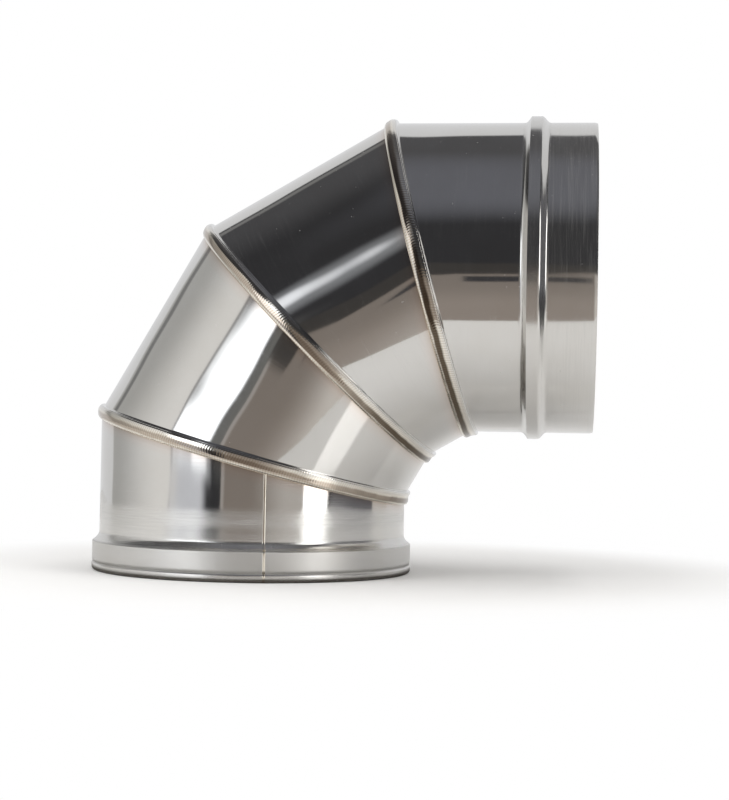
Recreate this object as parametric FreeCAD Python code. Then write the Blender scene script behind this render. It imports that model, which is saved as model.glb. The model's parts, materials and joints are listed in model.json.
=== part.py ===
"""Flue elbow, 90 degrees, single wall, four welded stainless steel segments.

Frame: millimetres, +Z up. The origin is the centre of the socket's rim, the socket's axis is Z,
and the spigot points along +X. The bend lies in the XZ plane.
"""
import FreeCAD, Part
import math
import os

from FreeCAD import Vector

# ---- driving dimensions, mm and degrees -------------------------------------------------------
nominal_r = 100.0           # clear radius of the duct
sheet = 0.6                 # thickness of the stainless sheet
bend_r = 160.0              # centre line radius of the bend
bend_turn = 90.0            # whole turn of the elbow
socket_leg = 35.0           # rim of the socket to the start of the bend
spigot_leg = 63.0           # end of the bend to the end of the spigot

# collar swaged on the lower edge of each upper segment, lapped over the edge below it
collar_rise = 2.4           # height of the collar over the tube
collar_foot = 4.4           # joint plane to the collar's upper foot
collar_lip = 3.2            # joint plane to the collar's lower lip
plain_lap = 1.2             # how far the plain edge runs past the joint plane, inside the collar
collar_steps = 4            # sections on each side of the joint plane
mitre_weld_leg = 1.8        # weld under the lip, along the tube
mitre_weld_throat = 1.05    # height of the weld at the lip
mitre_weld_toe = 0.12       # height of the weld's toe
seam_width = 1.5            # width of a longitudinal butt weld

# bell of the socket
bell_rise = 4.4             # outside of the bell over the tube
bell_depth = 24.6           # rim to the start of the shoulder
shoulder = 6.0              # height of the shoulder
lip_height = 8.2            # height of the rolled lip
lip_bulge = 0.2             # lip's largest radius over the bell
lip_middle = 4.2            # height at which the lip is widest
lip_groove = 0.35           # depth of the fine groove over the lip
lip_groove_height = 0.8
mate_clearance = 0.8        # radial clearance of a mate's spigot in the mouth
return_height = 6.5         # top of the lip's return flange

# stop bead and end of the spigot
bead_rise = 4.2             # crest of the stop bead over the tube
bead_start = 21.0           # end of the bend to the crest
bead_crest = 6.6            # flat width of the crest
bead_flank = 5.6            # rounded flank towards the spigot's end
bead_sweep = 4.2            # hollow sweep on the bend's side
lead_in = 2.2               # length of the drawn-in edge
lead_in_drop = 0.5          # how much the edge draws in

# silicone lip seal in the bell
seal_height = 12.0
seal_back = 1.5             # thickness of the seal's back
seal_relief = 0.3           # clearance of the back from the groove's inside
seal_fins = 3
seal_recess = 0.3           # how far the fins stay behind the mouth

# segments in the order of the flow, with the place of each one's longitudinal weld:
# degrees from the -Y side towards the outside of the bend
seam_turn = {"socket_section": -14.6, "lower_gore": 168.0, "upper_gore": 192.0, "spigot_section": 172.0}
mitre_names = ["lower_mitre_weld", "middle_mitre_weld", "upper_mitre_weld"]

# ---- derived dimensions ------------------------------------------------------------------------
tube_r = nominal_r + sheet
segment_names = list(seam_turn)
joint_count = len(segment_names) - 1
half_turn = math.radians(bend_turn / joint_count / 2)
mouth_r = tube_r + mate_clearance
bell_r = tube_r + bell_rise
bend_centre = Vector(bend_r, 0, socket_leg)
reach = 2 * (nominal_r + bend_r)        # longer than any segment


# ---- the elbow's skeleton -----------------------------------------------------------------------
def axis_dir(index):
    """Direction of flow in segment 0 to 3."""
    angle = 2 * half_turn * index
    return Vector(math.sin(angle), 0, math.cos(angle))


def joint_angle(joint):
    return half_turn * (2 * joint + 1)


def joint_outward(joint):
    """In the joint plane, from the bend's inside to its outside."""
    angle = joint_angle(joint)
    return Vector(-math.cos(angle), 0, math.sin(angle))


def joint_centre(joint):
    return bend_centre + joint_outward(joint) * (bend_r / math.cos(half_turn))


def section(joint, offset, radius, segment):
    """Slice of a tube of that radius, parallel to a joint plane, as an ellipse wire."""
    centre = joint_centre(joint) + axis_dir(segment) * (offset / math.cos(half_turn))
    major = centre + joint_outward(joint) * (radius / math.cos(half_turn))
    minor = centre + Vector(0, radius, 0)
    return Part.Wire([Part.Ellipse(major, minor, centre).toShape()])


def half_space(joint, offset, segment, above=True):
    """Large block on one side of a plane parallel to a joint plane."""
    block = Part.makeBox(2 * reach, 2 * reach, reach, Vector(-reach, -reach, 0))
    if not above:
        block.translate(Vector(0, 0, -reach))
    block.rotate(Vector(0, 0, 0), Vector(0, 1, 0), math.degrees(joint_angle(joint)))
    block.translate(joint_centre(joint) + axis_dir(segment) * (offset / math.cos(half_turn)))
    return block


def revolve(points, segment, origin):
    """Solid of revolution round a segment's axis, from (radius, height) points."""
    profile = Part.Face(Part.makePolygon([Vector(r, 0, z) for r, z in points + points[:1]]))
    solid = profile.revolve(Vector(0, 0, 0), Vector(0, 0, 1), 360)
    solid.rotate(Vector(0, 0, 0), Vector(0, 1, 0), math.degrees(2 * half_turn * segment))
    solid.translate(origin)
    return solid


# ---- wall outlines ---------------------------------------------------------------------------------
def quarter(centre_r, centre_z, size_r, size_z, start, steps=8):
    """Quarter of an ellipse in the (radius, height) plane, from a start angle in degrees."""
    angles = [math.radians(start + 90 * i / steps) for i in range(steps + 1)]
    return [(centre_r + size_r * math.cos(a), centre_z + size_z * math.sin(a)) for a in angles]


def curl(level, steep, steps=8):
    """Points from where the wall runs level with the axis to where it is steepest."""
    points = []
    for i in range(steps + 1):
        t = i / steps
        bend = 1 - math.cos(math.pi / 2 * t)
        points.append((level[0] + (steep[0] - level[0]) * bend, level[1] + (steep[1] - level[1]) * t))
    return points


def ease(start, end, steps=10):
    """Points of an S that runs level with the axis at both ends."""
    points = []
    for i in range(steps + 1):
        t = i / steps
        fall = (1 - math.cos(math.pi * t)) / 2
        points.append((start[0] + (end[0] - start[0]) * fall, start[1] + (end[1] - start[1]) * t))
    return points


def thicken(outer):
    """Close an outside line into a wall one sheet thick, measured square to the line."""
    inner = []
    for i, (r, z) in enumerate(outer):
        r0, z0 = outer[max(i - 1, 0)]
        r1, z1 = outer[min(i + 1, len(outer) - 1)]
        length = math.hypot(r1 - r0, z1 - z0)
        inner.append((r - sheet * (z1 - z0) / length, z + sheet * (r1 - r0) / length))
    return outer + inner[::-1]


# ---- sheet pieces ----------------------------------------------------------------------------------
def socket_tube():
    """Bell with its rolled lip, and the tube up to the first joint."""
    roll_r = (bell_r - mouth_r) / 2
    lip_r = bell_r + lip_bulge
    fold_r = mouth_r + roll_r
    outer = [(mouth_r, return_height)]
    outer += quarter(fold_r, roll_r, roll_r, roll_r, 180)
    outer += quarter(fold_r, lip_middle, lip_r - fold_r, lip_middle, 270)[1:]
    outer += curl((lip_r, lip_middle), (bell_r - lip_groove, lip_height))[1:]
    outer += [(bell_r, lip_height + lip_groove_height)]
    outer += curl((tube_r, bell_depth), (bell_r, bell_depth - shoulder))[::-1]
    outer += [(tube_r, reach / 2)]
    wall = revolve(thicken(outer), 0, Vector(0, 0, 0))
    return wall.cut(half_space(0, plain_lap, 0))


def spigot_tube():
    """Straight tube with the stop bead and the drawn-in end, from the last collar on."""
    end = Vector(bend_r, 0, socket_leg + bend_r)
    crest_r = tube_r + bead_rise
    crest_end = bead_start + bead_crest
    outer = [(tube_r, -reach / 2)]
    outer += curl((tube_r, bead_start - bead_sweep), (crest_r, bead_start))
    outer += ease((crest_r, crest_end), (tube_r, crest_end + bead_flank))
    outer += curl((tube_r, spigot_leg - lead_in), (tube_r - lead_in_drop, spigot_leg))
    wall = revolve(thicken(outer), joint_count, end)
    return wall.cut(half_space(joint_count - 1, collar_foot, joint_count, above=False))


def gore_tube(joint):
    """Plain tube between the collar over one joint and the lap at the next."""
    segment = joint + 1
    base = joint_centre(joint) - axis_dir(segment) * nominal_r
    ring = Part.makeCylinder(tube_r, reach, base, axis_dir(segment))
    ring = ring.cut(Part.makeCylinder(nominal_r, reach, base, axis_dir(segment)))
    ring = ring.cut(half_space(joint, collar_foot, segment, above=False))
    return ring.cut(half_space(joint + 1, plain_lap, segment))


def collar_height(offset):
    """Outside of the collar over the tube, at an offset from the joint plane."""
    return collar_rise * math.cos(math.pi / 2 * offset / collar_foot)


def collar_inside(offset):
    slope = collar_rise * math.pi / 2 / collar_foot * math.sin(math.pi / 2 * offset / collar_foot)
    return max(collar_height(offset) - sheet * math.hypot(1, slope), -sheet)


def collar(joint):
    """Rounded collar over a joint: below the plane it follows the lower tube, above it the upper."""
    below = [-collar_lip * (1 - i / collar_steps) for i in range(collar_steps)]
    above = [collar_foot * i / (collar_steps + 2) for i in range(collar_steps + 3)]
    stations = [(d, joint) for d in below] + [(d, joint + 1) for d in above]
    outside = [section(joint, d, tube_r + collar_height(d), s) for d, s in stations]
    inside = [section(joint, d, tube_r + collar_inside(d), s) for d, s in stations]
    solid = Part.makeLoft(outside, True, True)
    return solid.cut(Part.makeLoft(inside, True, True))


def mitre_weld(joint):
    """Continuous fillet weld between a collar's lip and the tube below it."""
    rings = []
    steps = 5
    for i in range(steps + 1):
        t = i / steps
        height = mitre_weld_toe + (mitre_weld_throat - mitre_weld_toe) * math.sin(math.pi / 2 * t)
        offset = -collar_lip - mitre_weld_leg * (1 - t)
        rings.append(section(joint, offset, tube_r + height, joint))
    base = joint_centre(joint) - axis_dir(joint) * nominal_r
    return Part.makeLoft(rings, True, True).cut(
        Part.makeCylinder(tube_r, reach, base, axis_dir(joint)))


def lip_seal():
    """Silicone ring in the bell, standing on the lip's return flange, with fins towards the mate."""
    back_r = bell_r - sheet
    relief_r = back_r - lip_groove - seal_relief
    relief_top = lip_height + lip_groove_height + seal_relief
    inner_r = back_r - seal_back
    tip_r = mouth_r + seal_recess
    pitch = seal_height / seal_fins
    points = [(back_r, relief_top), (relief_r, relief_top)]
    points += [(relief_r, return_height), (inner_r, return_height)]
    for i in range(seal_fins):
        foot = return_height + pitch * i
        points += [(tip_r, foot + pitch * 0.3), (inner_r, foot + pitch * 0.6)]
        if i < seal_fins - 1:
            points.append((inner_r, foot + pitch))
    points += [(inner_r, return_height + seal_height), (back_r, return_height + seal_height)]
    return revolve(points, 0, Vector(0, 0, 0))


# ---- longitudinal welds --------------------------------------------------------------------------
def seam_slot(name, segment, origin):
    """Narrow block through the wall, where the rolled sheet's two edges meet."""
    block = Part.makeBox(reach, seam_width, 2 * reach, Vector(0, -seam_width / 2, -reach))
    block.rotate(Vector(0, 0, 0), Vector(0, 0, 1), -90 - seam_turn[name])
    block.rotate(Vector(0, 0, 0), Vector(0, 1, 0), math.degrees(2 * half_turn * segment))
    block.translate(origin)
    return block


def segments():
    """Every sheet segment in order, as (whole ring, a point on its axis)."""
    last = joint_count - 1
    spigot = spigot_tube().fuse(collar(last)).removeSplitter()
    rings = [(socket_tube(), Vector(0, 0, 0))]
    for joint in range(last):
        rings.append((gore_tube(joint).fuse(collar(joint)).removeSplitter(), joint_centre(joint)))
    rings.append((spigot, joint_centre(last)))
    return rings


def main():
    os.makedirs("parts", exist_ok=True)
    nodes = {}
    for segment, (ring, on_axis) in enumerate(segments()):
        name = segment_names[segment]
        slot = seam_slot(name, segment, on_axis)
        nodes[name] = ring.cut(slot)
        nodes[name + "_seam_weld"] = ring.common(slot)
    for joint, name in enumerate(mitre_names):
        nodes[name] = mitre_weld(joint)
    nodes["lip_seal"] = lip_seal()
    for name, shape in nodes.items():
        box = shape.BoundBox
        print("%-26s solids %d valid %s volume %9.1f mm3  x %.1f..%.1f y %.1f..%.1f z %.1f..%.1f" % (
            name, len(shape.Solids), shape.isValid(), shape.Volume,
            box.XMin, box.XMax, box.YMin, box.YMax, box.ZMin, box.ZMax))
        shape.exportStep("parts/%s.step" % name)


main()
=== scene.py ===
# %% [markdown]
# # A flue elbow of welded stainless steel segments
# This lesson dresses a right-angle flue elbow. The real one is rolled and swaged from thin bright
# sheet: a socket section with a bell, two gores, and a spigot section with a stop bead. Each upper
# piece laps over the one below with a rounded collar, and a rippled weld closes every joint.
# The exact solids are loaded first, because they fix the elbow's frame and its main sizes. Every
# piece that is modelled here then takes the place of one of them.

# %% Load the solids
import bpy
import json
import math
from collections import namedtuple
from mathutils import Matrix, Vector

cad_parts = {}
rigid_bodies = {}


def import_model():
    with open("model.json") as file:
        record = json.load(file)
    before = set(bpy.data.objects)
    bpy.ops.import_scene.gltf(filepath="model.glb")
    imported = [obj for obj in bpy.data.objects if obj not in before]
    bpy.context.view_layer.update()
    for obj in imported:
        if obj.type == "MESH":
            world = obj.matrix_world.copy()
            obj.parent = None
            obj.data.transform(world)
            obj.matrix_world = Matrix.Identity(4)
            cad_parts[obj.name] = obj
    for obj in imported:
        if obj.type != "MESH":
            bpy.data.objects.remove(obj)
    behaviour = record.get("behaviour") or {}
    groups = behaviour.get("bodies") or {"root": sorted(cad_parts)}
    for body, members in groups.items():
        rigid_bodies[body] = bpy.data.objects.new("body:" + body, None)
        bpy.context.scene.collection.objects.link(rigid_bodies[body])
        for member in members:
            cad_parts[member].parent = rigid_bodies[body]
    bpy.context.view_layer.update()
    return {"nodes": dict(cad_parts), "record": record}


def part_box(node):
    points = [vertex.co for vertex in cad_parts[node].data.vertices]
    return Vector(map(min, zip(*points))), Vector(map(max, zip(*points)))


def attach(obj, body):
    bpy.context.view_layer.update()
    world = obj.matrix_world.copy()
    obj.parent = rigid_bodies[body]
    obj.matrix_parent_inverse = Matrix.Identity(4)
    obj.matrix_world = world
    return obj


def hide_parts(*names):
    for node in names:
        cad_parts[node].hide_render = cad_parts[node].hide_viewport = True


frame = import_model()
mounts = {m["name"]: m for m in frame["record"]["mounts"]}
print("nodes:", sorted(frame["nodes"]))

# %% [markdown]
# ## Sizes
# Lengths are in metres, so a millimetre gets a name of its own. The radii of the tube and of the
# mouth and the height of the spigot come from the record, and the spigot's end from its solid, so
# the looks follow the part. Smaller forms get their sizes where each is first needed.

# %% Sizes read from the part, and the sheet's own
MM = 0.001
TUBE_R = mounts["spigot"]["dims"]["r_mm"] * MM
MOUTH_R = mounts["socket"]["dims"]["r_mm"] * MM
SPIGOT_HEIGHT = mounts["spigot"]["pos_m"][2]
SPIGOT_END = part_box("spigot_section")[1].x
BEND_R = 160 * MM        # radius of the bend's centre line
SOCKET_LEG = SPIGOT_HEIGHT - BEND_R
SPIGOT_LEG = SPIGOT_END - BEND_R
BELL_R = TUBE_R + 4.4 * MM
SHEET = 0.6 * MM
TURN = math.radians(30)  # what each joint turns the tube by
HALF_TURN = TURN / 2
SIDES = 288              # flat faces round a tube
MERGE = 0.01 * MM        # vertices nearer than this are one
CLOSE = 0.02 * MM        # a vertex nearer than this to a plane lies on it
print("tube radius", TUBE_R, "socket leg", round(SOCKET_LEG, 4), "spigot leg", round(SPIGOT_LEG, 4))

# %% [markdown]
# ## Working upright
# Segments could be modelled where they lie, but each would need tilted axes of its own. So every
# segment is modelled upright on the origin, where its axis is Z and the inside of the bend is
# towards +X. There the mitre planes are simple: both pass through the bend's centre and lean 15
# degrees. When a piece is finished it is turned and moved to its place, and that placing is
# applied, so that the object itself sits at the origin with its place in its mesh.

# %% Selecting and editing
def deselect():
    """Object mode, with nothing selected."""
    if bpy.context.object and bpy.context.object.mode != "OBJECT":
        bpy.ops.object.mode_set(mode="OBJECT")
    bpy.ops.object.select_all(action="DESELECT")


def select_only(piece):
    deselect()
    bpy.context.view_layer.objects.active = piece
    piece.select_set(True)


def edit_new(name):
    """Names the primitive that was just added, and opens it for editing."""
    piece = bpy.context.object
    piece.name = piece.data.name = name
    bpy.ops.object.mode_set(mode="EDIT")
    return piece


def pick_vertices(piece, wanted):
    """Selects, in edit mode, the vertices for which wanted(place) is true."""
    bpy.ops.mesh.select_mode(type="VERT")
    bpy.ops.mesh.select_all(action="DESELECT")
    bpy.ops.object.mode_set(mode="OBJECT")
    count = 0
    for v in piece.data.vertices:
        v.select = wanted(v.co)
        count += v.select
    bpy.ops.object.mode_set(mode="EDIT")
    bpy.ops.mesh.select_mode(type="VERT")
    return count


print("still selected from loading:", sum(o.select_get() for o in bpy.context.view_layer.objects))
deselect()

# %% Placing and finishing a segment
def segment_place(segment):
    """Where an upright segment goes: its shift, and its turn, which is about Y."""
    angle = segment * TURN
    x = BEND_R * (1 - math.cos(angle))
    z = SOCKET_LEG + BEND_R * math.sin(angle)
    return (x, 0, z), (0, angle, 0)


def put_in_place(piece, segment):
    select_only(piece)
    piece.location, piece.rotation_euler = segment_place(segment)
    bpy.ops.object.transform_apply(location=True, rotation=True, scale=True)


def finish_sheet(piece, segment, thickness=SHEET, sharp=30):
    """Merge, turn the faces outwards, give the wall its thickness inwards, shade and place."""
    select_only(piece)
    bpy.ops.object.mode_set(mode="EDIT")
    bpy.ops.mesh.select_all(action="SELECT")
    bpy.ops.mesh.remove_doubles(threshold=MERGE)
    bpy.ops.mesh.normals_make_consistent(inside=False)
    select_only(piece)
    wall = piece.modifiers.new("wall", "SOLIDIFY")
    wall.thickness = thickness
    wall.offset = -1
    wall.use_even_offset = True
    bpy.ops.object.modifier_apply(modifier=wall.name)
    bpy.ops.object.shade_smooth_by_angle(angle=math.radians(sharp))
    put_in_place(piece, segment)
    print(piece.name, "faces", len(piece.data.polygons))


for segment in range(4):
    print("segment", segment, "goes to", [round(x, 4) for x in segment_place(segment)[0]])

# %% [markdown]
# ## Profiles
# A swaged shape runs level with the tube at one end and steep at the other. Bezier curves could
# draw it, but plain formulas hold its exact sizes. A quarter of a cosine gives that line, half a
# cosine gives an S that is level at both ends, and a quarter of an ellipse gives the rolled lip.
# Each returns points as (radius, height).

# %% Lines of the swaged shapes
def swage(start, end, steps, done):
    """From start to end in equal steps of height. done(t) is the share of the radius gone."""
    points = []
    for i in range(steps + 1):
        t = i / steps
        points.append((start[0] + (end[0] - start[0]) * done(t),
                       start[1] + (end[1] - start[1]) * t))
    return points


def curl(level, steep, steps=8):
    return swage(level, steep, steps, lambda t: 1 - math.cos(math.pi / 2 * t))


def ease(start, end, steps=12):
    return swage(start, end, steps, lambda t: (1 - math.cos(math.pi * t)) / 2)


def quarter(centre_r, centre_z, wide, high, start, steps=7):
    """A quarter of an ellipse, from the angle start on, in degrees."""
    points = []
    for i in range(steps + 1):
        a = math.radians(start + 90 * i / steps)
        points.append((centre_r + wide * math.cos(a), centre_z + high * math.sin(a)))
    return points


print("a curl of 1 by 1:", [tuple(round(x, 3) for x in p) for p in curl((0, 0), (1, 1), 4)])

# %% Drawing, spinning and cutting
UPPER, LOWER = 1, -1     # the two mitre planes of an upright segment


def draw_line(name, spots):
    """Draws a line as a new piece: one vertex, extruded on from spot to spot."""
    deselect()
    bpy.ops.mesh.primitive_plane_add(size=MM)
    line = edit_new(name)
    bpy.ops.mesh.merge(type="CENTER")
    bpy.ops.transform.translate(value=spots[0])
    for here, there in zip(spots, spots[1:]):
        bpy.ops.mesh.extrude_vertices_move(TRANSFORM_OT_translate={"value": there - here})
    return line


def spin_profile(name, profile):
    """Draws a profile in the XZ plane and spins it about Z, as on a lathe."""
    piece = draw_line(name, [Vector((r, 0, z)) for r, z in profile])
    bpy.ops.mesh.select_all(action="SELECT")
    bpy.ops.mesh.spin(steps=SIDES, angle=math.tau, center=(0, 0, 0), axis=(0, 0, 1))
    bpy.ops.mesh.select_all(action="SELECT")
    bpy.ops.mesh.remove_doubles(threshold=MERGE)
    return piece


def mitre_plane(side, offset=0.0):
    """A point on a mitre plane, and its normal, which points out of the segment."""
    normal = Vector((math.sin(HALF_TURN), 0, math.cos(HALF_TURN) * side))
    return Vector((BEND_R, 0, 0)) + normal * offset, normal


def cut(side, offset=0.0, clear=False):
    """A cut parallel to a mitre plane, offset outwards. clear takes off what lies past it."""
    bpy.ops.mesh.select_all(action="SELECT")
    point, normal = mitre_plane(side, offset)
    bpy.ops.mesh.bisect(plane_co=point, plane_no=normal, clear_outer=clear)


print("upper mitre plane's normal", [round(x, 3) for x in mitre_plane(UPPER)[1]])

# %% [markdown]
# ## The socket section
# The real bell is expanded on a mandrel, and its lip is rolled round and folded back inside. A
# bell could be pushed out of a cylinder ring by ring, but a turned shape like this is simply one
# profile spun about the axis. The tube above it is spun too long and cut on the mitre, a little
# past the joint, where it sits inside the next piece's collar.

# %% Socket section
LAP = 1.2 * MM                       # how far a tube reaches past its joint
OVERLONG = 160 * MM                  # a spun tube is this long before the cut
LIP_R = BELL_R + 0.2 * MM
RETURN_TOP, LIP_LOW, LIP_TOP = 6.5 * MM, 2.4 * MM, 4.3 * MM
VALLEY_DEPTH, VALLEY_LOW, VALLEY_TOP = 0.45 * MM, 5.4 * MM, 7.9 * MM
VALLEY_FLOOR = 0.1 * MM
BELL_DEPTH, SHOULDER = 24.6 * MM, 6.0 * MM
BELL_RING, TUBE_RING = 0.6 * MM, 0.5 * MM    # rings this near a form keep what is beside it flat
ROLL_R = (BELL_R - MOUTH_R) / 2
FOLD_R = MOUTH_R + ROLL_R


def socket_profile(top):
    """Heights above the rim."""
    line = [(MOUTH_R, RETURN_TOP)]
    line += quarter(FOLD_R, ROLL_R, ROLL_R, ROLL_R, start=180)
    line += quarter(FOLD_R, LIP_LOW, LIP_R - FOLD_R, LIP_LOW, start=270)[1:]
    line += curl((LIP_R, LIP_TOP), (BELL_R - VALLEY_DEPTH, VALLEY_LOW))
    line += curl((BELL_R, VALLEY_TOP), (BELL_R - VALLEY_DEPTH, VALLEY_LOW + VALLEY_FLOOR))[::-1]
    line += [(BELL_R, VALLEY_TOP + BELL_RING)]
    bell = curl((TUBE_R, BELL_DEPTH), (BELL_R, BELL_DEPTH - SHOULDER), 12)[::-1]
    line += [(BELL_R, bell[0][1] - BELL_RING)] + bell
    line += [(TUBE_R, BELL_DEPTH + TUBE_RING), (TUBE_R, top)]
    return line


def from_bend(profile):
    """The socket's profile with its heights taken from the start of the bend."""
    return [(r, z - SOCKET_LEG) for r, z in profile]


socket = spin_profile("socket_section_sheet", from_bend(socket_profile(OVERLONG)))
cut(UPPER, LAP, clear=True)
finish_sheet(socket, 0)
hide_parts("socket_section")

# %% [markdown]
# ## Collars
# The lower edge of each upper segment is swaged into a rounded collar. A ring could be modelled
# apart and set over the joint, but the real collar is the same sheet, without a gap.
# Above the joint plane it follows its own tube, and below the plane it follows the tube
# underneath, which leans the other way. So the cut edge is extruded ring by ring, first down its
# own axis and then, past the joint, down the lower tube's, and each ring is scaled about its
# centre to the collar's height. The collar has a short steep shoulder and a nearly flat crest.

# %% A collar drawn out of a cut edge
COLLAR_FOOT = 4.1 * MM
RING_GAP = 0.4 * MM      # a ring this far above the foot keeps the tube's shading straight
# millimetres up the flow from the joint plane, and above the tube
COLLAR_LINE = [(4.1, 0.0), (3.94, 0.07), (3.82, 0.4), (3.73, 0.95), (3.64, 1.5), (3.5, 1.96),
               (3.27, 2.22), (2.95, 2.32), (2.5, 2.345), (2.0, 2.35), (1.3, 2.35), (0.4, 2.34),
               (-0.4, 2.33), (-1.2, 2.29), (-2.2, 2.15), (-3.2, 1.7)]
JOINT_POINT, JOINT_NORMAL = mitre_plane(LOWER)


def above_joint(place):
    """How far up the flow a place lies from the lower mitre plane."""
    return (JOINT_POINT - place).dot(JOINT_NORMAL)


def ring_centre(offset):
    """The centre of the ring at an offset up the flow from the lower mitre plane."""
    middle = Vector((0, 0, -BEND_R * math.tan(HALF_TURN)))
    along = Vector((0, 0, 1)) if offset >= 0 else Vector((-math.sin(TURN), 0, math.cos(TURN)))
    return middle + along * (offset / math.cos(HALF_TURN))


def scale_ring(grow, offset):
    bpy.ops.transform.resize(value=(grow,) * 3, center_override=ring_centre(offset))


def draw_rings(heights):
    """Extrudes the selected ring from offset to offset, each with its height above the tube."""
    for before, after in zip(list(heights), list(heights)[1:]):
        move = ring_centre(after) - ring_centre(before)
        bpy.ops.mesh.extrude_edges_move(TRANSFORM_OT_translate={"value": move})
        scale_ring((TUBE_R + heights[after]) / (TUBE_R + heights[before]), after)


def cut_and_draw_collar(piece):
    cut(LOWER, -COLLAR_FOOT, clear=True)
    cut(LOWER, -COLLAR_FOOT - RING_GAP)
    found = pick_vertices(piece, lambda co: abs(above_joint(co) - COLLAR_FOOT) < CLOSE)
    draw_rings({offset * MM: height * MM for offset, height in COLLAR_LINE})
    print(piece.name, "collar drawn from", found, "vertices")


print("collar", round((COLLAR_LINE[0][0] - COLLAR_LINE[-1][0]), 1), "mm wide")

# %% [markdown]
# ## The two gores
# A gore is a plain tube with a mitre at each end. It could be spun like the socket, but nothing on
# it is turned, so a long cylinder without caps is cut by the two planes, and the collar is drawn
# from its lower edge.

# %% Lower and upper gore
UNCUT = 300 * MM         # length of a tube before its cuts


def open_tube(name, sides):
    """A long tube without caps, open for editing."""
    deselect()
    bpy.ops.mesh.primitive_cylinder_add(vertices=sides, radius=TUBE_R, depth=UNCUT,
                                        end_fill_type="NOTHING")
    return edit_new(name)


def gore(name, segment):
    piece = open_tube(name, SIDES)
    cut(UPPER, LAP, clear=True)
    cut_and_draw_collar(piece)
    finish_sheet(piece, segment)
    return piece


lower_gore = gore("lower_gore_sheet", 1)
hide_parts("lower_gore")
upper_gore = gore("upper_gore_sheet", 2)
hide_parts("upper_gore")

# %% [markdown]
# ## The spigot section
# Its stop bead is rolled from inside: a hollow sweep up on the bend's side, a flat crest, and an
# S-shaped flank towards the open end, which is drawn in a little to find the next pipe. This is a
# spun profile again, as the socket is, cut on the mitre below, with its collar drawn from the cut.

# %% Spigot section
BEAD_R = TUBE_R + 4.2 * MM
BEAD_START, BEAD_CREST, BEAD_SWEEP, BEAD_FLANK = 21.0 * MM, 6.6 * MM, 4.2 * MM, 5.6 * MM
BEAD_FOOT, BEAD_TOE = BEAD_START - BEAD_SWEEP, BEAD_START + BEAD_CREST + BEAD_FLANK
LEAD_IN, LEAD_IN_DROP = 2.2 * MM, 0.5 * MM


def spigot_profile(bottom):
    """Heights above the end of the bend."""
    crest_end = BEAD_START + BEAD_CREST
    line = [(TUBE_R, bottom), (TUBE_R, BEAD_FOOT - TUBE_RING)]
    line += curl((TUBE_R, BEAD_FOOT), (BEAD_R, BEAD_START), 10)
    line += [(BEAD_R, BEAD_START + RING_GAP), (BEAD_R, crest_end - RING_GAP)]
    line += ease((BEAD_R, crest_end), (TUBE_R, BEAD_TOE))
    line += [(TUBE_R, BEAD_TOE + RING_GAP), (TUBE_R, SPIGOT_LEG - LEAD_IN - RING_GAP)]
    line += curl((TUBE_R, SPIGOT_LEG - LEAD_IN), (TUBE_R - LEAD_IN_DROP, SPIGOT_LEG), 5)
    return line


spigot = spin_profile("spigot_section_sheet", spigot_profile(-OVERLONG))
cut_and_draw_collar(spigot)
finish_sheet(spigot, 3)
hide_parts("spigot_section")

# %% [markdown]
# ## Mitre welds
# Under each collar's lip runs one continuous weld. Its pool froze in ripples, about one every
# millimetre and a half. Bump in the material could draw them, but a real edge catches the light
# from every side. The bead is drawn as rings like the collar, from its toe on the lower tube up
# over the lip and onto the crest, with a broad crown that is nearly flat. Then the vertices near
# each front are scaled a little outwards, with the middle of the bead ahead of its sides, so the
# fronts come out as crescents.

# %% A rippled weld along a joint
RIPPLES = 396
STEPS_IN_RIPPLE = 4
# millimetres up the flow from the joint plane, millimetres above the tube, and how many steps the
# front runs ahead there
WELD_LINE = [(-5.5, -0.35, 0), (-5.3, 0.45, 0), (-4.95, 1.15, 0), (-4.5, 1.7, 1), (-3.9, 2.12, 1),
             (-3.1, 2.36, 1), (-2.1, 2.46, 2), (-0.9, 2.52, 2), (0.4, 2.56, 2), (1.6, 2.56, 1),
             (2.45, 2.5, 1), (2.85, 2.25, 1)]
FRONTS = {0: 0.036 * MM, 1: 0.02 * MM}       # how far each step of a ripple stands out
UNEVEN = 0.007 * MM


def ripple_out(piece):
    """Scales the fronts of the ripples outwards, ring by ring, the middle of the bead first."""
    for station, _, lead in WELD_LINE[1:-1]:
        centre = ring_centre(station * MM)
        for phase, out in FRONTS.items():
            def on_front(co):
                if abs(above_joint(co) - station * MM) > CLOSE:
                    return False
                around = math.atan2(co.y, co.x - centre.x) % math.tau
                step = round(around / math.tau * RIPPLES * STEPS_IN_RIPPLE)
                return (step + lead) % STEPS_IN_RIPPLE == phase

            pick_vertices(piece, on_front)
            scale_ring(1 + out / TUBE_R, station * MM)


def mitre_weld(name, segment):
    piece = open_tube(name, RIPPLES * STEPS_IN_RIPPLE)
    cut(LOWER, clear=True)
    pick_vertices(piece, lambda co: abs(above_joint(co)) > CLOSE)
    bpy.ops.mesh.delete(type="VERT")
    bpy.ops.mesh.select_all(action="SELECT")
    heights = {station * MM: height * MM for station, height, _ in WELD_LINE}
    first, last = min(heights), max(heights)
    bpy.ops.transform.translate(value=ring_centre(first) - ring_centre(0.0))
    scale_ring(1 + heights[first] / TUBE_R, first)
    draw_rings(heights)
    ripple_out(piece)
    pick_vertices(piece, lambda co: min(abs(above_joint(co) - end)
                                        for end in (first, last)) < CLOSE)
    bpy.ops.mesh.bridge_edge_loops()
    bpy.ops.mesh.select_all(action="SELECT")
    bpy.ops.transform.vertex_random(offset=UNEVEN, normal=0.5, seed=segment)
    bpy.ops.mesh.normals_make_consistent(inside=False)
    select_only(piece)
    bpy.ops.object.shade_smooth()
    put_in_place(piece, segment)
    print(piece.name, "faces", len(piece.data.polygons))
    return piece


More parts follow.
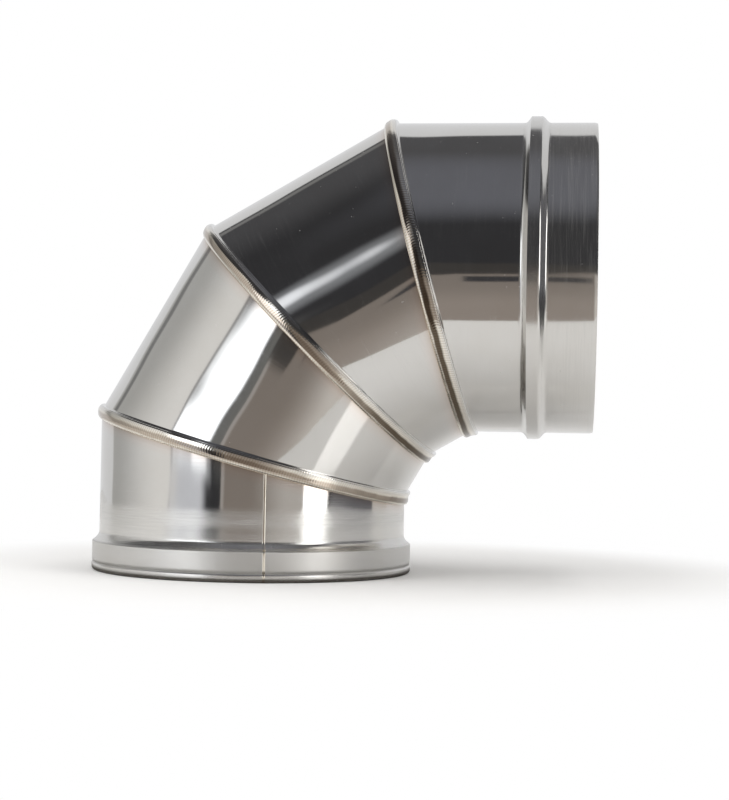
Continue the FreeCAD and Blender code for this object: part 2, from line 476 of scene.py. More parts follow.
mitre_welds = []
for segment, place in ((1, "lower"), (2, "middle"), (3, "upper")):
    weld = mitre_weld(place + "_mitre_weld_bead", segment)
    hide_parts(place + "_mitre_weld")
    mitre_welds.append(weld)

# %% [markdown]
# ## Longitudinal welds
# Each segment was rolled from a flat blank, and a narrow butt weld joins its two edges. The weld is
# a low crown, two tenths of a millimetre proud. A curve with a bevel could follow the tube, but it
# would be round. Here the crown's section is drawn once across the seam and extruded up the
# segment's own line, so on the socket it follows the lip, the bell and the shoulder.

# %% Seam welds
SEAM_STOP = 4.6 * MM     # the seam ends at the foot of the collar
SEAM_REACH = 150 * MM    # length of a seam to each side before its cuts
SEAM_EXTRA = 0.3 * MM    # it is thicker than the sheet by this
IN_FOLD = 8              # the profile's first points lie folded inside the lip
SEAM_TURN = {"socket_section": -14.6, "lower_gore": 168, "upper_gore": 192, "spigot_section": 172}
# millimetres across the seam, and above the tube
CROWN = [(-0.95, -0.2), (-0.8, 0.05), (-0.45, 0.14), (0.0, 0.18), (0.45, 0.14), (0.8, 0.05),
         (0.95, -0.2)]


def seam_weld(name, segment, line):
    turn = math.radians(SEAM_TURN[name])
    out = Vector((-math.sin(turn), -math.cos(turn), 0))
    across = Vector((out.y, -out.x, 0))
    piece = draw_line(name + "_seam_weld_bead",
                      [across * (w * MM) + out * (line[0][0] + h * MM) + Vector((0, 0, line[0][1]))
                       for w, h in CROWN])
    bpy.ops.mesh.select_all(action="SELECT")
    for (r0, z0), (r1, z1) in zip(line, line[1:]):
        bpy.ops.mesh.extrude_edges_move(
            TRANSFORM_OT_translate={"value": out * (r1 - r0) + Vector((0, 0, z1 - z0))})
    if segment < 3:
        cut(UPPER, LAP, clear=True)
    if segment:
        cut(LOWER, -SEAM_STOP, clear=True)
    finish_sheet(piece, segment, thickness=SHEET + SEAM_EXTRA, sharp=60)
    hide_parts(name + "_seam_weld")
    return piece


straight = [(TUBE_R, -SEAM_REACH), (TUBE_R, SEAM_REACH)]
seam_lines = [from_bend(socket_profile(SEAM_REACH))[IN_FOLD:], straight, straight,
              spigot_profile(-SEAM_REACH)]
seam_welds = [seam_weld(name, i, seam_lines[i]) for i, name in enumerate(SEAM_TURN)]

# %% [markdown]
# ## Materials made of nodes
# Painted images could give the finish, but they need unwrapping and blur close by. Here every
# pattern is worked out from the object's own coordinates. Short helpers keep the node trees
# readable: each adds a node, and takes either a plain value or what another node gives.

# %% Adding and feeding nodes
def new_material(name):
    material = bpy.data.materials.new(name)
    material.use_nodes = True
    tree = material.node_tree
    return material, tree, tree.nodes["Principled BSDF"]


def feed(tree, socket, value):
    """Links a value that another node gives, or sets a plain one."""
    if isinstance(value, bpy.types.NodeSocket):
        tree.links.new(value, socket)
    else:
        socket.default_value = value


def node(tree, kind, inputs=None, **settings):
    made = tree.nodes.new(kind)
    for key, value in settings.items():
        setattr(made, key, value)
    for key, value in (inputs or {}).items():
        feed(tree, made.inputs[key], value)
    return made


def calc(tree, operation, *values):
    made = node(tree, "ShaderNodeMath", operation=operation)
    for socket, value in zip(made.inputs, values):
        feed(tree, socket, value)
    return made.outputs[0]


def both_of(tree, first, second):
    return calc(tree, "MULTIPLY", first, second)


def add_share(tree, mask, amount, base):
    """base, and amount on top of it where the mask is 1."""
    return calc(tree, "MULTIPLY_ADD", mask, amount, base)


print("materials before this:", len(bpy.data.materials))

# %% Mixing colours
MIX_FACTOR, MIX_FIRST, MIX_SECOND, MIX_COLOUR = 0, 6, 7, 2   # a Mix node's sockets for colours


def mix(tree, factor, first, second, way="MIX"):
    """Two colours mixed: the first at factor 0, the second at 1."""
    made = node(tree, "ShaderNodeMix", data_type="RGBA", blend_type=way)
    feed(tree, made.inputs[MIX_FACTOR], factor)
    for index, colour in ((MIX_FIRST, first), (MIX_SECOND, second)):
        feed(tree, made.inputs[index], (*colour, 1) if isinstance(colour, tuple) else colour)
    return made.outputs[MIX_COLOUR]


def times(tree, first, second):
    return mix(tree, 1.0, first, second, "MULTIPLY")


def ramp(tree, value, stops):
    made = node(tree, "ShaderNodeValToRGB", {"Fac": value})
    elements = made.color_ramp.elements
    while len(elements) < len(stops):
        elements.new(0.5)
    for element, (place, colour) in zip(elements, stops):
        element.position = place
        element.color = (*colour, 1)
    return made.outputs["Color"]


print("a Mix node takes its colours at sockets", MIX_FIRST, "and", MIX_SECOND)

# %% Masks and patterns
def rise(tree, value, low, high):
    """0 below low, 1 above high, smooth between."""
    made = node(tree, "ShaderNodeMapRange", {"Value": value, "From Min": low, "From Max": high},
                interpolation_type="SMOOTHSTEP")
    return made.outputs["Result"]


def between(tree, value, low, high, fade):
    """1 where the value lies between low and high, fading over fade beyond each end."""
    past = calc(tree, "SUBTRACT", 1.0, rise(tree, value, high, high + fade))
    return both_of(tree, rise(tree, value, low - fade, low), past)


def noise(tree, vector, scale, detail, rough, distort=0.0):
    made = node(tree, "ShaderNodeTexNoise", {"Vector": vector, "Scale": scale, "Detail": detail,
                                             "Roughness": rough, "Distortion": distort})
    return made.outputs["Fac"]


def vector_math(tree, operation, first, second=(0, 0, 0)):
    made = node(tree, "ShaderNodeVectorMath", {0: first, 1: second}, operation=operation)
    return made.outputs["Vector" if operation == "MULTIPLY" else "Value"]


print("noise of scale 10 has patches of", round(0.1 / MM), "mm")

# %% Where a point lies on the elbow
def stretched(tree, place, scale):
    return node(tree, "ShaderNodeMapping", {"Vector": place, "Scale": scale}).outputs["Vector"]


def split(tree, place):
    return node(tree, "ShaderNodeSeparateXYZ", {0: place}).outputs


def own_place(tree):
    return node(tree, "ShaderNodeTexCoord").outputs["Object"]


def upright(tree, place, segment):
    """The place as it was on the upright segment, so that Z is the tube's axis."""
    shift, turn = segment_place(segment)
    return node(tree, "ShaderNodeMapping", {"Vector": place, "Location": shift, "Rotation": turn},
                vector_type="TEXTURE").outputs["Vector"]


def joint_normal(joint):
    angle = (joint + 0.5) * TURN
    return Vector((math.sin(angle), 0, math.cos(angle)))


def joint_distance(tree, place, joint):
    """Distance of a place from a joint plane, up the flow, in metres."""
    normal = joint_normal(joint)
    centre = Vector((BEND_R, 0, SOCKET_LEG))
    return calc(tree, "SUBTRACT", vector_math(tree, "DOT_PRODUCT", place, normal),
                centre.dot(normal))


print("the first joint faces", [round(x, 3) for x in joint_normal(0)])

# %% [markdown]
# ## Bright sheet
# Bright annealed stainless is almost a mirror. A plain metal shader looks like chrome, so four
# things are added to it: fine brushing that runs round each tube, a slow waviness left by rolling,
# a dull haze where the sheet was worked into a shoulder or a bead, and the heat tint beside the
# welds. The inside keeps the satin finish of the mill. Each segment gets a material of its own,
# because its axis points another way.

# %% Heat tint beside a weld
CLEAN = (1.0, 1.0, 1.0)
TINT_WIDTH = 20 * MM     # what the tint's ramp spans
TINT_JOINT = 0.8         # where on that span the joint plane lies
TINT_STOPS = [(0.00, CLEAN), (0.16, CLEAN), (0.36, (1.0, 0.965, 0.95)),
              (0.48, (0.93, 0.86, 0.82)), (0.56, (0.78, 0.68, 0.58)), (0.64, (0.62, 0.50, 0.39)),
              (0.71, (0.50, 0.39, 0.29)), (0.77, (0.80, 0.72, 0.63)), (0.83, CLEAN)]


def heat_tint(tree, place, joint, wobble):
    """Straw to brown beside the weld on its lower side, and a faint flush further down."""
    distance = calc(tree, "ADD", joint_distance(tree, place, joint), wobble)
    return ramp(tree, calc(tree, "MULTIPLY_ADD", distance, 1 / TINT_WIDTH, TINT_JOINT), TINT_STOPS)


print("the tint spans", TINT_WIDTH / MM, "mm")

# %% Patterns on the sheet
BRUSHING = (5, 5, 2200)              # the lines are far finer along the axis than round it
STREAKS = (30, 30, 1300)
Patterns = namedtuple("Patterns", "lines streaks cloud wave grain")


def sheet_patterns(tree, turned, seed):
    """seed moves the patterns on, so no two segments are alike."""
    moved = node(tree, "ShaderNodeMapping", {"Vector": turned, "Location": (seed, 0, 0)}
                 ).outputs["Vector"]
    return Patterns(
        lines=noise(tree, stretched(tree, moved, BRUSHING), scale=1.0, detail=5.0, rough=0.75),
        streaks=noise(tree, stretched(tree, moved, STREAKS), scale=1.0, detail=3.0, rough=0.6),
        cloud=noise(tree, moved, scale=11.0, detail=5.0, rough=0.62),
        wave=noise(tree, moved, scale=13.0, detail=1.0, rough=0.4),
        grain=noise(tree, moved, scale=420.0, detail=2.0, rough=0.5))


print("brushed lines are about", round(1 / BRUSHING[2] / MM, 2), "mm wide")

# %% Colour of the sheet
SHEET_COLOUR = (0.655, 0.645, 0.625)
STAIN = [(0.30, (0.93, 0.92, 0.90)), (0.62, CLEAN)]


def sheet_colour(tree, place, cloud):
    """Faint stains and the heat of the three joints over the metal's own colour."""
    wobble = calc(tree, "MULTIPLY_ADD", cloud, 4 * MM, -2 * MM)
    tint = heat_tint(tree, place, 0, wobble)
    for joint in (1, 2):
        tint = times(tree, tint, heat_tint(tree, place, joint, wobble))
    return times(tree, times(tree, ramp(tree, cloud, STAIN), tint), SHEET_COLOUR)


print("stains reach", STAIN[0][1])

# %% Wear and brushing
BRUSH_EDGE = 2 * MM


def wear(tree, p):
    """Marks that roughen and a haze that dulls: short scratches, sparse specks, faint combing."""
    worn = both_of(tree, rise(tree, p.lines, 0.60, 0.72), rise(tree, p.cloud, 0.42, 0.60))
    speck = rise(tree, p.grain, 0.745, 0.78)
    comb = both_of(tree, rise(tree, p.streaks, 0.50, 0.68), rise(tree, p.cloud, 0.40, 0.58))
    haze = add_share(tree, comb, 0.018, calc(tree, "MULTIPLY", speck, 0.14))
    return calc(tree, "MAXIMUM", worn, speck), haze


def brush_beyond(tree, p, height, edge, marks, haze):
    """Past a height the sheet is brushed, which leaves it duller."""
    beyond = rise(tree, height, edge - BRUSH_EDGE, edge)
    brushed = calc(tree, "MULTIPLY_ADD", p.lines, 0.5, -0.1)
    combed = calc(tree, "MULTIPLY_ADD", rise(tree, p.streaks, 0.45, 0.70), 0.042, 0.012)
    marks = calc(tree, "ADD", marks, both_of(tree, beyond, brushed))
    return marks, add_share(tree, beyond, combed, haze)


print("brushing starts at", round(BEAD_TOE - BRUSH_EDGE, 4))

# %% Worked bands and the satin inside
SATIN_ROUGH, SATIN_HAZE = 0.26, 0.30
INSIDE_R = TUBE_R - SHEET * 0.75     # nearer the axis than this is the inside
Zone = namedtuple("Zone", "low high fade rough haze")     # a band of heights up the axis


def work_zone(tree, p, height, zone, rough, haze):
    """A band that was worked into a form is rougher, with a mottled haze."""
    mask = between(tree, height, zone.low, zone.high, zone.fade)
    more = calc(tree, "MULTIPLY_ADD", p.cloud, zone.rough, zone.rough / 2)
    mottled = calc(tree, "MULTIPLY_ADD", rise(tree, p.streaks, 0.36, 0.66), zone.haze,
                   zone.haze / 4)
    return add_share(tree, mask, more, rough), add_share(tree, mask, mottled, haze)


def satin_inside(tree, turned, rough, haze):
    radius = vector_math(tree, "LENGTH", vector_math(tree, "MULTIPLY", turned, (1, 1, 0)))
    inside = calc(tree, "LESS_THAN", radius, INSIDE_R)
    return add_share(tree, inside, SATIN_ROUGH, rough), add_share(tree, inside, SATIN_HAZE, haze)


print("inside starts at radius", round(INSIDE_R, 5))

# %% The whole sheet material
POLISH = 0.045                       # roughness of clean sheet
WAVE, CALM_WAVE = 2.2 * MM, 1.2 * MM


def bright_sheet(name, segment, seed, zones, brushed_from, waviness):
    """zones are the worked bands; past the height brushed_from the sheet is brushed."""
    material, tree, shader = new_material(name)
    place = own_place(tree)
    turned = upright(tree, place, segment)
    height = split(tree, turned)["Z"]
    p = sheet_patterns(tree, turned, seed)
    marks, haze = wear(tree, p)
    if brushed_from is not None:
        marks, haze = brush_beyond(tree, p, height, brushed_from, marks, haze)
    rough = add_share(tree, marks, 0.22, calc(tree, "MULTIPLY_ADD", p.lines, 0.04, POLISH))
    for zone in zones:
        rough, haze = work_zone(tree, p, height, zone, rough, haze)
    rough, haze = satin_inside(tree, turned, rough, haze)
    feed(tree, shader.inputs["Base Color"], sheet_colour(tree, place, p.cloud))
    feed(tree, shader.inputs["Roughness"], rough)
    feed(tree, shader.inputs["Metallic"], calc(tree, "SUBTRACT", 1.0, haze))
    slow = node(tree, "ShaderNodeBump", {"Height": p.wave, "Strength": 1.0, "Distance": waviness})
    fine = node(tree, "ShaderNodeBump", {"Height": p.lines, "Strength": 0.2,
                                         "Distance": 0.01 * MM, "Normal": slow.outputs["Normal"]})
    feed(tree, shader.inputs["Normal"], fine.outputs["Normal"])
    return material


print("waviness", WAVE / MM, "mm, on the upper gore", CALM_WAVE / MM)

# %% Bright sheet on the four segments
SHOULDER_LOW = BELL_DEPTH - SHOULDER - SOCKET_LEG
SHOULDER_TOP = BELL_DEPTH - SOCKET_LEG
BELOW_ALL = -1.0
# heights up the segment's own axis
ZONES = {
    "socket_section_sheet": [
        Zone(VALLEY_LOW - SOCKET_LEG, SHOULDER_LOW, 1.5 * MM, rough=0.20, haze=0.07),
        Zone(BELOW_ALL, SHOULDER_TOP, 2 * MM, rough=0.06, haze=0.02),
        Zone(BELOW_ALL, SHOULDER_TOP + 8 * MM, 14 * MM, rough=0.10, haze=0.06),
        Zone(SHOULDER_TOP + 12 * MM, SHOULDER_TOP + 16 * MM, 6 * MM, rough=0.10, haze=0.12)],
    "spigot_section_sheet": [Zone(BEAD_FOOT, BEAD_TOE, 1.0 * MM, rough=0.10, haze=0.02)]}
SEED_STEP = 0.37
sheet_pieces = [socket, lower_gore, upper_gore, spigot]
for i, piece in enumerate(sheet_pieces):
    piece.data.materials.append(bright_sheet(
        piece.name + "_bright", i, SEED_STEP * i, ZONES.get(piece.name, ()),
        BEAD_TOE if piece is spigot else None, CALM_WAVE if piece is upper_gore else WAVE))
    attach(piece, "root")
print("bright sheet on", [piece.name for piece in sheet_pieces])

# %% [markdown]
# ## Weld metal
# A weld keeps the colour of its heat. Along the top of the bead, where it was hottest, it is brown,
# and darkest on the inside of the bend, where the torch was cramped. Towards its toe it turns
# straw. It is glossy, because the sheet is thin and the pool was small, so the fine ripples show
# where a bright reflection meets a dark one. The hollows between the ripples get a little painted
# shade too, since the eye reads a row of soft dark lines sooner than the shape alone.

# %% Painted shade in the hollows between the ripples
# painted shade in the hollows between the ripples: its colour, and the shares of one ripple it
# spans
PAINTED_HOLLOW_SHADE = (0.80, 0.76, 0.71)
HOLLOW_FROM, HOLLOW_TO, HOLLOW_FADE = 0.58, 0.76, 0.18   # shares of one ripple
WELD_TOE, WELD_MIDDLE = -5.3 * MM, -2.3 * MM             # up the flow from the joint
WELD_CENTRE = ring_centre(-2.5 * MM)
FRONT_LEAD = 0.5         # of a ripple, by which the middle of the bead runs ahead


def hollow_shade_mask(tree, place, joint):
    """1 in the hollows between the ripples of a mitre weld, where shade is painted, 0 on their
    fronts.
    """
    spot = split(tree, upright(tree, place, joint + 1))
    from_centre = calc(tree, "SUBTRACT", spot["X"], WELD_CENTRE.x)
    around = calc(tree, "ARCTAN2", spot["Y"], from_centre)
    lead = rise(tree, joint_distance(tree, place, joint), WELD_TOE, WELD_MIDDLE)
    count = calc(tree, "MULTIPLY_ADD", around, RIPPLES / math.tau,
                 calc(tree, "MULTIPLY", lead, FRONT_LEAD))
    return between(tree, calc(tree, "FRACT", count), HOLLOW_FROM, HOLLOW_TO, HOLLOW_FADE)


print("a ripple is", round(math.tau * TUBE_R / RIPPLES / MM, 2), "mm long")


# %% Weld metal
WELD_WIDTH = 9 * MM      # what the bands' ramp spans
WELD_JOINT = 6 / 9       # where on that span the joint plane lies
HOT, WARM, SCORCHED = (0.49, 0.43, 0.365), (0.82, 0.78, 0.70), (0.12, 0.095, 0.07)
UPPER_EDGE = (0.74, 0.72, 0.68)
SEAM_HOT, SEAM_WARM = (0.66, 0.60, 0.50), (0.80, 0.76, 0.68)
BURN_FADE = 80 * MM
BURNT_TO = (140 * MM, 180 * MM, 235 * MM)    # how far from the bend's axis each joint is scorched


def weld_material(name, colour_of):
    """Glossy metal; colour_of makes its colour from the tree, the place and soft patches."""
    material, tree, shader = new_material(name)
    place = own_place(tree)
    patches = noise(tree, place, scale=60.0, detail=4.0, rough=0.6, distort=0.4)
    fine = noise(tree, place, scale=500.0, detail=3.0, rough=0.6)
    feed(tree, shader.inputs["Base Color"], colour_of(tree, place, patches))
    feed(tree, shader.inputs["Metallic"], 1.0)
    feed(tree, shader.inputs["Roughness"], calc(tree, "MULTIPLY_ADD", fine, 0.08, 0.05))
    return material


def mitre_colour(joint):
    """Bands of heat across the bead, darker towards the inside of the bend."""
    def colour_of(tree, place, patches):
        wobble = calc(tree, "MULTIPLY_ADD", patches, 2 * MM, -1 * MM)
        across = calc(tree, "ADD", joint_distance(tree, place, joint), wobble)
        across = calc(tree, "MULTIPLY_ADD", across, 1 / WELD_WIDTH, WELD_JOINT)
        plain, burnt = [ramp(tree, across, [(0.05, WARM), (0.20, WARM), (0.30, middle),
                                            (0.56, middle), (0.70, WARM), (0.84, UPPER_EDGE)])
                        for middle in (HOT, SCORCHED)]
        flat = vector_math(tree, "MULTIPLY", place, (1, 0, 1))
        reach = vector_math(tree, "DISTANCE", flat, (BEND_R, 0, SOCKET_LEG))
        reach = add_share(tree, patches, 0.05, reach)
        burnt_to = BURNT_TO[joint]
        heat = rise(tree, reach, burnt_to - BURN_FADE, burnt_to)
        # painted shade: the hollows between the ripples are darkened over the weld's own colour
        shade = mix(tree, hollow_shade_mask(tree, place, joint), CLEAN, PAINTED_HOLLOW_SHADE)
        return times(tree, mix(tree, heat, burnt, plain), shade)

    return colour_of


def seam_colour(tree, place, patches):
    return ramp(tree, patches, [(0.35, SEAM_HOT), (0.65, SEAM_WARM)])


for joint, weld in enumerate(mitre_welds):
    weld.data.materials.append(weld_material(weld.name + "_tinted", mitre_colour(joint)))
seam_metal = weld_material("seam_weld_straw", seam_colour)
for weld in seam_welds:
    weld.data.materials.append(seam_metal)
for weld in mitre_welds + seam_welds:
    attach(weld, "root")
print("weld metal on", [weld.name for weld in mitre_welds + seam_welds])

# %% [markdown]
# ## Lip seal
# The silicone ring in the bell is a plain turned solid, and it already has its fins, so it is kept
# as it was loaded. It only needs a dark matt rubber with a slight bloom.

# %% Seal rubber
BLOOM = [(0.3, (0.018, 0.018, 0.02)), (0.8, (0.035, 0.035, 0.037))]
rubber, tree, shader = new_material("seal_silicone")
bloom = noise(tree, own_place(tree), scale=60.0, detail=4.0, rough=0.6)
feed(tree, shader.inputs["Base Color"], ramp(tree, bloom, BLOOM))
feed(tree, shader.inputs["Roughness"], calc(tree, "MULTIPLY_ADD", bloom, 0.2, 0.5))
seal = frame["nodes"]["lip_seal"]
seal.data.materials.clear()
seal.data.materials.append(rubber)
print("rubber on", seal.name)

# %% [markdown]
# ## Table
# The elbow stands on a pale table. A plain white floor would do for a catalogue, but polished metal
# also mirrors what it stands on. So the table has a low sheen for reflections alone, a painted
# contact shadow round the foot, a dark ring that only reflections see, for the rolled lip to
# mirror, and it fades to plain white away from the elbow, so that only the real contact shadow is
# left of it.

# %% Pale table
WHITE = (1.0, 1.0, 1.0)
TABLE_X, TABLE_Y = (-1.0, 0.66), (-0.315, 1.25)
TABLE_PAINT = (0.88, 0.87, 0.855)
# painted contact shadow: a dark ring round the socket's foot that only reflections see
CONTACT_SHADOW_PAINT = (0.10, 0.09, 0.08)
CONTACT_SHADOW_RING = (0.107, 0.135)             # from the socket's axis: full at the first, gone at the second
SHADOW_CENTRE, SHADOW_FADE = (0.06, 0.03, 0.0), (0.2, 0.34)
TABLE_IOR, TABLE_SHEEN_MOST = 1.9, 0.25


def surface_of(tree, shader_output):
    """Makes a shader the surface of the tree's material."""
    output = next(n for n in tree.nodes if n.type == "OUTPUT_MATERIAL")
    tree.links.new(shader_output, output.inputs["Surface"])


def one_over_other(tree, factor, under, over):
    return node(tree, "ShaderNodeMixShader", {0: factor, 1: under, 2: over}).outputs[0]


def board(name, location, size, rotation=(0, 0, 0)):
    """A plane of a size (wide, high) for the stage round the elbow."""
    deselect()
    bpy.ops.mesh.primitive_plane_add(size=1.0, location=location, rotation=rotation)
    made = bpy.context.object
    made.name = name
    made.scale = (*size, 1)
    return made


table = board("pale_table", (sum(TABLE_X) / 2, sum(TABLE_Y) / 2, 0),
              (TABLE_X[1] - TABLE_X[0], TABLE_Y[1] - TABLE_Y[0]))
paint, tree, shader = new_material("pale_table_paint")
shader.inputs["Base Color"].default_value = (*TABLE_PAINT, 1)
shader.inputs["Roughness"].default_value = 0.8
ray = node(tree, "ShaderNodeLightPath").outputs
spot = node(tree, "ShaderNodeNewGeometry").outputs["Position"]
gloss = node(tree, "ShaderNodeBsdfGlossy", {"Color": (*WHITE, 1), "Roughness": 0.06})
fresnel = node(tree, "ShaderNodeFresnel", {"IOR": TABLE_IOR})
sheen = calc(tree, "MINIMUM", fresnel.outputs[0], TABLE_SHEEN_MOST)
top = one_over_other(tree, both_of(tree, sheen, ray["Is Glossy Ray"]),
                     shader.outputs[0], gloss.outputs[0])
# painted contact shadow: near the socket's axis, reflections see a dark diffuse ring instead of the
# table
from_axis = vector_math(tree, "DISTANCE", spot)
painted_contact_shadow = calc(tree, "SUBTRACT", 1.0, rise(tree, from_axis, *CONTACT_SHADOW_RING))
contact_shadow_shader = node(tree, "ShaderNodeBsdfDiffuse", {"Color": (*CONTACT_SHADOW_PAINT, 1)})
top = one_over_other(tree, both_of(tree, painted_contact_shadow, ray["Is Glossy Ray"]), top, contact_shadow_shader.outputs[0])
plain = node(tree, "ShaderNodeEmission", {"Color": (*WHITE, 1), "Strength": 1.0})
far = rise(tree, vector_math(tree, "DISTANCE", spot, SHADOW_CENTRE), *SHADOW_FADE)
top = one_over_other(tree, both_of(tree, far, ray["Is Camera Ray"]), top, plain.outputs[0])
surface_of(tree, top)
table.data.materials.append(paint)
print("table", [round(x, 3) for x in table.dimensions])

# %% [markdown]
# ## The studio
# Polished metal shows the room it stands in. The room could be built of cards, but a world that is
# painted by direction is quicker and has no edges to trip over. It is a plain studio for glossy
# rays alone: a pale backdrop behind, a pale wall at the left, a dark ceiling, a dim floor before
# the table and a tall softbox on each side. Everything matt gets one plain soft light from the
# same world, and camera rays see plain white.
#
# Directions are in degrees. Side 0 is straight in front of the elbow and +90 at its right, and up
# 0 is the horizon.

# %% Directions in the world
world = bpy.data.worlds.new("studio")
bpy.context.scene.world = world
world.use_nodes = True
room = world.node_tree
room.nodes.clear()
view = node(room, "ShaderNodeTexCoord").outputs["Generated"]
way = split(room, view)
DEGREES = 180 / math.pi
side = calc(room, "ARCTAN2", way["X"], calc(room, "MULTIPLY", way["Y"], -1.0))
side = calc(room, "MULTIPLY", side, DEGREES)
up = calc(room, "MULTIPLY", calc(room, "ARCSINE", way["Z"]), DEGREES)
leaning = calc(room, "MULTIPLY_ADD", up, 0.6, side)      # side, for edges that lean with height


def past(value, at, soft):
    return rise(room, value, at - soft, at + soft)


def window(value, low, high, soft):
    return both_of(room, past(value, low, soft),
                   calc(room, "SUBTRACT", 1.0, past(value, high, soft)))


def patch(under, sides, ups, softs, colour, angle=side):
    """Paints what lies between two sides and two heights, with the softness of each edge."""
    mask = both_of(room, window(angle, *sides, softs[0]), window(up, *ups, softs[1]))
    return mix(room, mask, under, colour)


def glow(under, side_deg, up_deg, inner, outer, colour):
    """A round soft patch of light about a direction, full at inner and gone at outer degrees."""
    a, b = math.radians(side_deg), math.radians(up_deg)
    centre = (math.cos(b) * math.sin(a), -math.cos(b) * math.cos(a), math.sin(b))
    near = vector_math(room, "DOT_PRODUCT", view, centre)
    mask = rise(room, near, math.cos(math.radians(outer)), math.cos(math.radians(inner)))
    return mix(room, mask, under, colour)


print("the world has", len(room.nodes), "nodes before the painting")

# %% The room
CEILING, FAR_FLOOR = (0.042, 0.042, 0.046), (0.36, 0.32, 0.29)
CEILING_BACK, CEILING_FRONT = (0.105, 0.105, 0.112), (0.165, 0.17, 0.195)
GREY_WALL, PALE_CORNER = (0.145, 0.145, 0.16), (0.66, 0.65, 0.63)
GAP, LOW_WALL = (0.33, 0.33, 0.335), (0.84, 0.84, 0.86)
WALL, LIT_WALL = (0.50, 0.50, 0.49), (0.97, 0.96, 0.95)
WALL_END, BACKDROP = (0.24, 0.24, 0.24), (0.80, 0.805, 0.82)
LOWEST = -90

# ceiling: dark, greyer over the backdrop, with a dim bluish patch high in front
studio = glow(CEILING, 180, 70, 18, 50, CEILING_BACK)
studio = glow(studio, 5, 66, 8, 36, CEILING_FRONT)
# below the horizon in front the far floor is dark; the nearer floor is a card of its own
studio = mix(room, calc(room, "SUBTRACT", 1.0, past(up, -20, 3)), studio, FAR_FLOOR)
# right side: a dim grey wall above the table's edge, and a pale corner behind it
studio = patch(studio, (70, 109), (-6, 38), (2, 2), GREY_WALL)
pale_corner = both_of(room, past(side, 109, 1.5), window(up, LOWEST, 30, 3))
studio = mix(room, pale_corner, studio, PALE_CORNER)
# left wall: pale, brighter towards the softbox, with a grey gap before it
wall_tone = mix(room, past(side, -85, 30), WALL, LIT_WALL)
studio = patch(studio, (-54, -49), (-2, 34), (0.8, 2), GAP)
studio = patch(studio, (-54, -43), (-20, -1), (1.5, 2), LOW_WALL)
studio = patch(studio, (-145, -52.6), (LOWEST, 34), (0.8, 3), wall_tone)
studio = patch(studio, (-117, -110), (6, 50), (1.5, 6), WALL_END, angle=leaning)
# backdrop behind, between two leaning edges
behind = calc(room, "SUBTRACT", 1.0, window(leaning, -121, 128, 1.5))
studio = mix(room, both_of(room, behind, window(up, LOWEST, 57, 1.5)), studio, BACKDROP)
print("the bare room takes", len(room.nodes), "nodes")

# %% Softboxes in the world
LEFT_BOX, RIGHT_BOX = (2.2, 2.28, 2.4), (3.4, 3.4, 3.4)
UNDER_BOX, BESIDE_BOX = (0.74, 0.76, 0.82), (0.19, 0.19, 0.185)
HALO, HALO_CORE = (0.30, 0.312, 0.335), (1.2, 1.24, 1.32)

# the left one, over the dimmer light under and beside it, with a halo at its upper corner
studio = patch(studio, (-47, -28), (-20, 1), (3, 4), UNDER_BOX)
studio = glow(studio, -17.5, 5, 1, 8, BESIDE_BOX)
studio = glow(studio, -21.5, 22, 0.5, 11, HALO)
studio = glow(studio, -23, 22, 0.3, 5.4, HALO_CORE)
studio = patch(studio, (-51, -22.5), (0, 20), (1.2, 3), LEFT_BOX)
studio = patch(studio, (-36, -25.5), (-1.5, 2), (1.5, 0.4), LEFT_BOX)
studio = patch(studio, (48, 67), (-6, 34), (1.5, 3), RIGHT_BOX)

MATT_LIGHT = (0.60, 0.60, 0.60)
ray = node(room, "ShaderNodeLightPath").outputs
lit = mix(room, ray["Is Glossy Ray"], MATT_LIGHT, studio)
seen = mix(room, ray["Is Camera Ray"], lit, WHITE)
background = node(room, "ShaderNodeBackground", {"Color": seen, "Strength": 1.0})
node(room, "ShaderNodeOutputWorld", {"Surface": background.outputs[0]})
print("studio painted with", len(room.nodes), "nodes")

# %% [markdown]
# ## Cards
# What stands near the elbow has to shift in the metal from place to place, which a painted world
# can't do, as it is endlessly far. So the near floor and a dark stand are cards at their real
# distance in front of the table. Only reflections see them.

# %% Cards that only the metal sees
FLOOR_LEFT, FLOOR_RIGHT = (0.275, 0.24, 0.215), (0.56, 0.53, 0.50)
FLOOR_MARGIN, FLOOR_DARK = (0.46, 0.43, 0.41), (0.062, 0.058, 0.056)
NEAR_LIFT = (1.3, 1.3, 1.3)
STAND_DARK = (0.05, 0.05, 0.055, 1)


def glow_card(name, y, corners, shade):
    """A flat card in front of the elbow at depth y; corners are (x, z); shade makes its colour."""
    (x0, z0), (x1, z1) = corners
    card = board(name, ((x0 + x1) / 2, y, (z0 + z1) / 2), (x1 - x0, z1 - z0),
                 (math.radians(90), 0, 0))
    material, tree, shader = new_material(name + "_light")
    tree.nodes.remove(shader)
    light = node(tree, "ShaderNodeEmission", {"Color": shade(tree), "Strength": 1.0})
    surface_of(tree, light.outputs[0])
    card.data.materials.append(material)
    card.visible_camera = card.visible_diffuse = card.visible_shadow = False
    card.visible_transmission = False
    print(card.name, "stands at", [round(x, 3) for x in card.location])


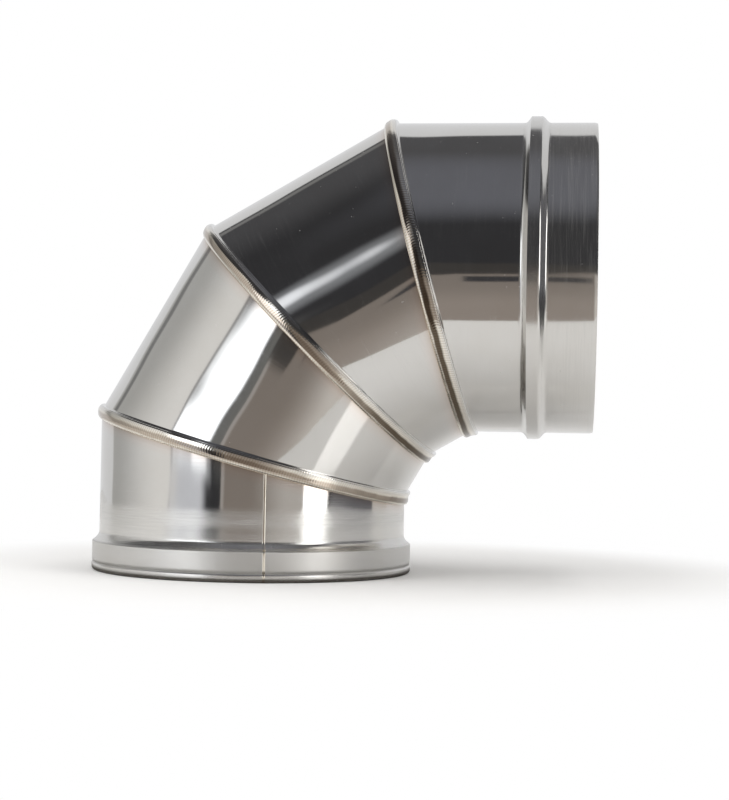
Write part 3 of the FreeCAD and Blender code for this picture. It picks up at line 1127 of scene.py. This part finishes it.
def floor_tone(tree):
    """Brown-grey, lighter to the right and nearer down to the table, dark above a sloping line."""
    spot = split(tree, node(tree, "ShaderNodeNewGeometry").outputs["Position"])
    tone = mix(tree, rise(tree, spot["X"], 0.15, 1.15), FLOOR_LEFT, FLOOR_RIGHT)
    low = rise(tree, calc(tree, "MULTIPLY", spot["Z"], -1.0), 0.0, 0.5)
    tone = times(tree, tone, mix(tree, low, WHITE, NEAR_LIFT))
    tone = mix(tree, rise(tree, spot["X"], -0.36, -0.31), FLOOR_MARGIN, tone)
    slope = calc(tree, "MULTIPLY", calc(tree, "ADD", spot["X"], 0.06), -0.55)
    line = calc(tree, "ADD", calc(tree, "MAXIMUM", slope, 0.0), 0.10)
    for start, end in ((-0.06, 0.06), (0.15, 0.20)):
        line = add_share(tree, rise(tree, spot["X"], start, end), 0.05, line)
    above = rise(tree, calc(tree, "SUBTRACT", spot["Z"], line), -0.008, 0.008)
    return mix(tree, above, tone, FLOOR_DARK)


glow_card("room_floor_card", -1.6, ((-0.40, -1.4), (1.72, 0.34)), floor_tone)
glow_card("dark_stand_card", -1.082, ((0.104, 0.070), (0.238, 0.136)), lambda tree: STAND_DARK)

# %% [markdown]
# ## Lamps
# The world lights everything evenly, so the table would have hardly any shadow. Three soft area
# lamps stand where the studio's softboxes are. The metal doesn't see them: it has painted ones.

# %% Soft lamps for the table and the matt parts
Lamp = namedtuple("Lamp", "name place size energy")
LAMPS = (Lamp("left_softbox", (-0.9, -0.9, 0.75), 0.7, 8),
         Lamp("right_softbox", (1.15, -0.6, 0.75), 0.7, 5),
         Lamp("overhead_softbox", (0.05, 0.0, 1.7), 1.3, 10))
LAMP_AIM = Vector((0.05, 0, 0.05))

for plan in LAMPS:
    deselect()
    aim = LAMP_AIM - Vector(plan.place)
    bpy.ops.object.light_add(type="AREA", location=plan.place,
                             rotation=aim.to_track_quat("-Z", "Y").to_euler())
    lamp = bpy.context.object
    lamp.name = plan.name
    lamp.data.size = plan.size
    lamp.data.energy = plan.energy
    lamp.visible_glossy = False
    lamp.visible_camera = False
    print(lamp.name, lamp.data.energy, "W")

# %% [markdown]
# ## Camera
# The camera stands a little over a metre in front, just above the table, and looks nearly level,
# so that upright edges stay upright. Its focal length is in the units of the render's size, and
# is turned into millimetres.

# %% Camera
LONG_SIDE = 800                      # longer side of the finished render
FOCAL = 1637.9                       # focal length in the same units
SENSOR = 36                          # millimetres
CAMERA_PLACE = (0.2023, -1.0754, 0.0895)
CAMERA_TURN = (91.284, -1.097, 6.810)
deselect()
bpy.ops.object.camera_add(location=CAMERA_PLACE, rotation=[math.radians(a) for a in CAMERA_TURN])
camera = bpy.context.object
camera.data.sensor_width = SENSOR
camera.data.lens = SENSOR * FOCAL / LONG_SIDE
bpy.context.scene.camera = camera
print("lens", round(camera.data.lens, 1), "mm")

# %% [markdown]
# Plain colours need the Standard view, since a filmic one would grey the white.

bpy.context.scene.view_settings.view_transform = "Standard"
